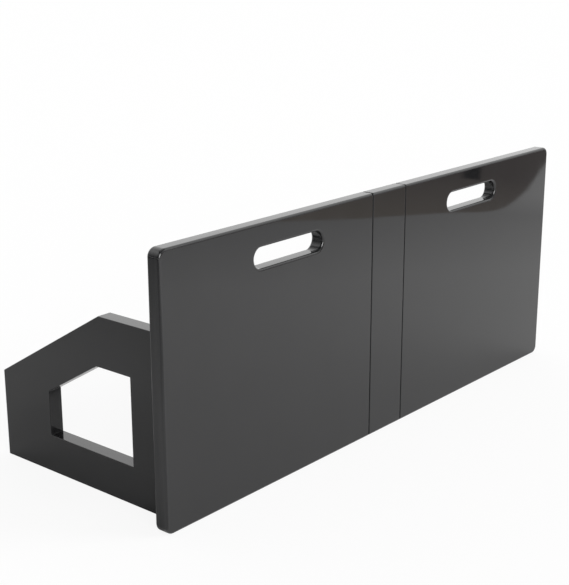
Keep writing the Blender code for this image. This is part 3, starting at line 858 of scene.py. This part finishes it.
# %% The screws
SCREW_HEAD_RADIUS = 4.6 * MM
SCREW_HEAD_HEIGHT = 2.1 * MM
SCREW_TOP_RADIUS = 2.9 * MM
RIM_STEPS = 5
CROSS_REACH = 2.1 * MM
CROSS_HALF_WIDTH = 0.45 * MM
CROSS_DEPTH = 1.3 * MM
CROSS_TAPER = 0.45
HEAD_SIDES = 32
SCREW_TURNS = (25, 65, 105)


def grow(shape, edges, scale, drop):
    """Extrudes a loop of edges, scales it about the screw's axis and lowers it."""
    grown = bmesh.ops.extrude_edge_only(shape, edges=edges)["geom"]
    verts = [g for g in grown if isinstance(g, bmesh.types.BMVert)]
    bmesh.ops.scale(shape, vec=(scale, scale, 1), verts=verts)
    bmesh.ops.translate(shape, vec=(0, 0, -drop), verts=verts)
    return [g for g in grown if isinstance(g, bmesh.types.BMEdge)
            and all(v in verts for v in g.verts)]


def screw_head():
    """A screw head with its seat at z = 0 and its top up."""
    shape = bmesh.new()
    r, w = CROSS_REACH, CROSS_HALF_WIDTH
    cross = [(r, -w), (r, w), (w, w), (w, r), (-w, r), (-w, w),
             (-r, w), (-r, -w), (-w, -w), (-w, -r), (w, -r), (w, -w)]
    recess = draw_outline(shape, cross)
    recess_edges = recess.edges[:]
    bmesh.ops.delete(shape, geom=[recess], context="FACES_ONLY")
    circle = bmesh.ops.create_circle(shape, segments=HEAD_SIDES, radius=SCREW_TOP_RADIUS)
    rim = list({e for v in circle["verts"] for e in v.link_edges})
    fill_between(shape, recess_edges + rim)
    floor_edges = grow(shape, recess_edges, CROSS_TAPER, CROSS_DEPTH)
    bmesh.ops.contextual_create(shape, geom=floor_edges)
    radius, drop = SCREW_TOP_RADIUS, 0
    for step in range(1, RIM_STEPS + 1):
        angle = pi / 2 * step / RIM_STEPS
        wider = SCREW_TOP_RADIUS + (SCREW_HEAD_RADIUS - SCREW_TOP_RADIUS) * sin(angle)
        lower = SCREW_HEAD_HEIGHT * (1 - cos(angle))
        rim = grow(shape, rim, wider / radius, lower - drop)
        radius, drop = wider, lower
    bmesh.ops.contextual_create(shape, geom=rim)
    bmesh.ops.translate(shape, vec=(0, 0, SCREW_HEAD_HEIGHT), verts=shape.verts)
    return shape


def screws_mesh():
    """The three heads of one half, on the inside of its web."""
    one = screw_head()
    head = to_mesh(one, "screw_head", [clear_zinc])
    shape = bmesh.new()
    top_up = Matrix.Rotation(-pi / 2, 4, "X")
    for turned, (along, across) in zip(SCREW_TURNS, SCREW_PLACES):
        known = len(shape.verts)
        shape.from_mesh(head)
        shape.verts.ensure_lookup_table()
        turn = Matrix.Rotation(radians(turned), 4, "Y") @ top_up
        place = Matrix.Translation((along, -SEAT + SHEET, across)) @ turn
        bmesh.ops.transform(shape, matrix=place, verts=shape.verts[known:])
    bpy.data.meshes.remove(head)
    bmesh.ops.recalc_face_normals(shape, faces=shape.faces)
    return to_mesh(shape, "screws", [clear_zinc])


BRACKET_MESHES["screws"] = screws_mesh()

# %% [markdown]
# One bracket is now a set of meshes drawn about its rivet. Each of the eight takes its
# place from the frame: the middle of its rivet there, and the turn of each half. The
# halves ride on the boards they are screwed to, and the lock bar on its own slide.

# %% Placing the brackets
ALONG_X = Matrix.Identity(4)
AGAINST_X = Matrix.Rotation(pi, 4, "Y")
BACK_FROM_RIGHT_LEG = Matrix.Rotation(pi / 2, 4, "Z")
BACK_FROM_LEFT_LEG = Matrix(((0, 1, 0, 0), (1, 0, 0, 0), (0, 0, -1, 0), (0, 0, 0, 1)))


def place_piece(name, kind, matrix, body, slot, nodes, thickness=0, sheet=True):
    mesh = BRACKET_MESHES[kind].copy()
    mesh.name = name
    mesh.transform(matrix)
    piece = add_piece(name, mesh, body, slot, *nodes)
    if sheet:
        finish_sheet(piece, thickness)
    return piece


def place_bracket(name, kind, fixed_body, moving_body, fixed_turn, swing_turn):
    low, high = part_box(name + "_pin")
    pin = Matrix.Translation((low + high) / 2)
    fixed, swing = pin @ fixed_turn, pin @ swing_turn
    place_piece(
        name + "_bent_channel", "channel", fixed, fixed_body, "zinc_plate",
        [name + "_channel"], SHEET,
    )
    place_piece(
        name + "_bent_swing_arm", kind + "_swing_arm", swing, moving_body, "zinc_plate",
        [name + "_swing_arm"], SHEET,
    )
    place_piece(name + "_rivet", "pin", fixed, fixed_body, "zinc_plate", [name + "_pin"])
    place_piece(
        name + "_flat_lock_bar", "lock_bar", fixed, name + "_lock", "zinc_plate",
        [name + "_lock_bar"],
    )
    place_piece(
        name + "_wound_spring", "spring", fixed, fixed_body, "spring_wire",
        [name + "_spring"], sheet=False,
    )
    for half, matrix, body in (("fixed", fixed, fixed_body), ("moving", swing, moving_body)):
        place_piece(
            f"{name}_{half}_screws", "screws", matrix, body, "zinc_plate", [], sheet=False
        )


for side, label in ((-1, "left"), (1, "right")):
    inward, outward = (ALONG_X, AGAINST_X) if side < 0 else (AGAINST_X, ALONG_X)
    backward = BACK_FROM_LEFT_LEG if side < 0 else BACK_FROM_RIGHT_LEG
    panel, leg = label + "_panel", label + "_leg"
    for level in ("low", "high"):
        place_bracket(f"{label}_seam_{level}", "seam", "root", panel, inward, outward)
        place_bracket(f"{label}_leg_{level}", "leg", panel, leg, inward, backward)
for mesh in BRACKET_MESHES.values():
    bpy.data.meshes.remove(mesh)

# %% [markdown]
# The stage is a plain white floor that runs out of sight. The floor's own white is lit
# by the lamps, so the board's shadow falls on it and shows in the gloss. The camera
# sees it mixed with plain white, which leaves only a faint shadow. In front, where it
# comes near a brown carpet, a painted shade makes the floor's own colour a little
# greyer, for the dimmer light there. Well past the board's right end the painted shade
# stops and it is as white as elsewhere.

# %% The floor
FLOOR_SIZE = 60
FLOOR_BELOW = 0.2 * MM
SHADOW_SHARE = 0.12
AWAY_FROM_CARPET = Vector((-0.59, 0.807, 0))
CARPET_LINE = -1.631
PAINTED_SHADE_WIDTH = 0.6
PAINTED_SHADE_ENDS = (1.5, 1.8)


def stage_piece(name, shape, material):
    mesh = bpy.data.meshes.new(name)
    shape.to_mesh(mesh)
    shape.free()
    mesh.materials.append(material)
    piece = bpy.data.objects.new(name, mesh)
    bpy.context.scene.collection.objects.link(piece)
    print(name, "on the stage")
    return piece


floor_white, tree = new_tree("white_floor")
spot = add_node(tree, "ShaderNodeTexCoord", output="Object")
# How far a point lies from the carpet's line sets a painted shade on the floor's colour; it
# clears farther off, and far to the right.
across = add_node(
    tree, "ShaderNodeVectorMath", {0: spot, 1: AWAY_FROM_CARPET},
    output="Value", operation="DOT_PRODUCT",
)
clear = add_node(
    tree, "ShaderNodeMapRange",
    {"Value": across, "From Min": CARPET_LINE, "From Max": CARPET_LINE + PAINTED_SHADE_WIDTH},
)
sideways = add_node(tree, "ShaderNodeSeparateXYZ", {"Vector": spot}, output="X")
beside = add_node(
    tree, "ShaderNodeMapRange",
    {"Value": sideways, "From Min": PAINTED_SHADE_ENDS[0], "From Max": PAINTED_SHADE_ENDS[1]},
)
clear = add_node(tree, "ShaderNodeMath", {0: clear, 1: beside}, operation="MAXIMUM")
# The painted shade: near the carpet the floor's own colour goes from F8F8F8 down to DCDCDC.
white = add_node(
    tree, "ShaderNodeMix", {"Factor": clear, "A": linear("DCDCDC"), "B": linear("F8F8F8")},
    data_type="RGBA",
)
seen = add_node(tree, "ShaderNodeLightPath", output="Is Camera Ray")
share = add_node(
    tree, "ShaderNodeMath", {0: seen, 1: 1 - SHADOW_SHARE}, operation="MULTIPLY"
)
lit = add_node(tree, "ShaderNodeBsdfDiffuse", {"Color": white})
plain = add_node(tree, "ShaderNodeEmission", {"Color": linear("FFFFFF"), "Strength": 1})
both = add_node(tree, "ShaderNodeMixShader", {0: share, 1: lit, 2: plain})
add_node(tree, "ShaderNodeOutputMaterial", {"Surface": both})

shape = bmesh.new()
bmesh.ops.create_grid(shape, x_segments=1, y_segments=1, size=FLOOR_SIZE / 2)
bmesh.ops.translate(shape, vec=(0, 0, -FLOOR_BELOW), verts=shape.verts)
stage_piece("floor", shape, floor_white)

# %% [markdown]
# The white floor ends some way in front of the board, and a brown carpet starts, with
# the dark foot of a lamp stand on it. On the left lies a grey sheet, darker farther out,
# that is painted shade: it stands in for the floor in shade there, and reaches in under
# the left leg, so the mirror image near its foot is darker. The camera sees none of
# them, but the polished faces show the carpet's edge as a curve with a dark band above
# it. Without such an edge, a gloss looks like a flat grey.

# %% The carpet, the stand's foot and the painted-shade sheet
CLOTH_BELOW = 0.1 * MM
CARPET_EDGE = [(0.6, -1.6), (1.0, -1.3), (1.44, -0.975), (1.49, -0.93), (1.54, -0.908),
               (1.6, -0.909), (1.69, -0.934), (1.85, -0.985), (2.26, -1.153), (5, -2.2),
               (5, -5), (0.6, -5)]
CARPET_CURVE = 0.02
CARPET_ROUNDED = (2, 3, 4, 5, 6, 7)
CARPET_FADE = (1.1, 2.0)
FOOT_BELOW = CLOTH_BELOW / 2
FOOT_EDGE = [(1.876, -1.231), (1.867, -1.164), (2.35, -1.46), (2.36, -1.53)]
PAINTED_SHADE_FADE = (-0.8, -2.2)
PAINTED_SHADE_EDGE = [(-0.505, -1.2), (-0.505, -0.18), (-0.45, -0.18), (-0.45, 4), (-5, 4), (-5, -1.2)]


def lay_cloth_or_painted_shade(name, outline, colours, fade_x, below, curve=0, rounded=()):
    """A cloth, or a sheet of painted shade, seen only in reflections; its colour changes over
    fade_x.
    """
    material, tree = new_tree(name)
    spot = add_node(tree, "ShaderNodeTexCoord", output="Object")
    sideways = add_node(tree, "ShaderNodeSeparateXYZ", {"Vector": spot}, output="X")
    fade = add_node(
        tree, "ShaderNodeMapRange",
        {"Value": sideways, "From Min": fade_x[0], "From Max": fade_x[1]},
    )
    colour = add_node(
        tree, "ShaderNodeMix",
        {"Factor": fade, "A": linear(colours[0]), "B": linear(colours[1])}, data_type="RGBA",
    )
    pile = add_node(tree, "ShaderNodeBsdfDiffuse", {"Color": colour})
    add_node(tree, "ShaderNodeOutputMaterial", {"Surface": pile})
    shape = bmesh.new()
    draw_outline(shape, outline, curve, round_all=False, rounded=rounded)
    bmesh.ops.translate(shape, vec=(0, 0, -below), verts=shape.verts)
    bmesh.ops.recalc_face_normals(shape, faces=shape.faces)
    cloth = stage_piece(name, shape, material)
    cloth.visible_camera = False
    cloth.visible_diffuse = False
    cloth.visible_shadow = False


lay_cloth_or_painted_shade(
    "brown_carpet", CARPET_EDGE, ("C0B7AD", "8E8683"), CARPET_FADE, CLOTH_BELOW,
    CARPET_CURVE, CARPET_ROUNDED,
)
lay_cloth_or_painted_shade("stand_foot", FOOT_EDGE, ("3A3A3A", "3A3A3A"), CARPET_FADE, FOOT_BELOW)
# The grey sheet is painted shade: only the gloss shows it, as the shaded floor on the left.
lay_cloth_or_painted_shade("painted_shade_sheet", PAINTED_SHADE_EDGE, ("C6C6C6", "1E1E1E"), PAINTED_SHADE_FADE, CLOTH_BELOW)

# %% [markdown]
# A black gloss shows its whole surroundings, so they matter as much as the finish. A
# bright backdrop stands behind the board and reaches halfway up, where the upward faces
# mirror it. It fades to a dim room on the left and in front, which turns the round
# corner dark, and above it the studio is dark, which draws the dark line along each
# rounded edge. The camera itself sees plain white.

# %% The studio around it
BRIGHT_UP_TO = radians(43)
DARK_FROM = radians(54)
BRIGHT_TOWARDS = Vector((0.5, 0.4, 0.77))
BRIGHT_BACKDROP = 1.3
DIM_SIDE = 0.05
BACKDROP_FADE = (-0.2, 0.75)

world = bpy.data.worlds.new("studio")
bpy.context.scene.world = world
world.use_nodes = True
tree = world.node_tree
tree.nodes.clear()
direction = add_node(tree, "ShaderNodeTexCoord", output="Generated")
height = add_node(tree, "ShaderNodeSeparateXYZ", {"Vector": direction}, output="Z")
wall = add_node(
    tree, "ShaderNodeMapRange",
    {"Value": height, "From Min": sin(BRIGHT_UP_TO), "From Max": sin(DARK_FROM)},
    interpolation_type="SMOOTHSTEP",
)
colour = add_node(
    tree, "ShaderNodeMix", {"Factor": wall, "A": linear("FFFFFF"), "B": linear("1E1C1A")},
    data_type="RGBA",
)
behind = add_node(
    tree, "ShaderNodeVectorMath", {0: direction, 1: BRIGHT_TOWARDS},
    output="Value", operation="DOT_PRODUCT",
)
bright = add_node(
    tree, "ShaderNodeMapRange",
    {"Value": behind, "From Min": BACKDROP_FADE[0], "From Max": BACKDROP_FADE[1],
     "To Min": DIM_SIDE, "To Max": BRIGHT_BACKDROP},
    interpolation_type="SMOOTHSTEP",
)
seen = add_node(tree, "ShaderNodeLightPath", output="Is Camera Ray")
colour = add_node(
    tree, "ShaderNodeMix", {"Factor": seen, "A": colour, "B": linear("FFFFFF")},
    data_type="RGBA",
)
bright = add_node(
    tree, "ShaderNodeMix", {"Factor": seen, "A": bright, "B": 1.0}, data_type="FLOAT"
)
background = add_node(tree, "ShaderNodeBackground", {"Color": colour, "Strength": bright})
add_node(tree, "ShaderNodeOutputWorld", {"Surface": background})
print("backdrop up to", round(degrees(BRIGHT_UP_TO)), "degrees")

# %% [markdown]
# Three lamps light the board at a plain level. The key is broad and stands low in front,
# a little to the left, where its mirror image makes the short highlights on the round
# corner and on the lower right of each slot. The side lamp comes from the front right
# and throws a soft shadow to the left, and it is kept out of the gloss, which stays
# dark. The top lamp fills the shadows. They are suns, because their light is as strong
# at the edge of the floor as in the middle, so the floor is even. Each has a direction,
# a strength, the width of its disc, and whether the gloss shows it.

# %% The lamps
LAMPS = {
    "key_lamp": (Vector((-0.5, -0.78, 0.38)), 2.2, radians(38), True),
    "side_lamp": (Vector((0.6, -0.65, 0.45)), 1.5, radians(26), False),
    "top_lamp": (Vector((0.15, 0.25, 1.0)), 0.35, radians(50), True),
}
for name, (towards, strength, disc, in_gloss) in LAMPS.items():
    lamp_data = bpy.data.lights.new(name, "SUN")
    lamp_data.energy = strength
    lamp_data.angle = disc
    lamp = bpy.data.objects.new(name, lamp_data)
    lamp.rotation_euler = towards.to_track_quat("Z", "Y").to_euler()
    lamp.visible_glossy = in_gloss
    bpy.context.scene.collection.objects.link(lamp)
    print(name, strength, "W/m2")
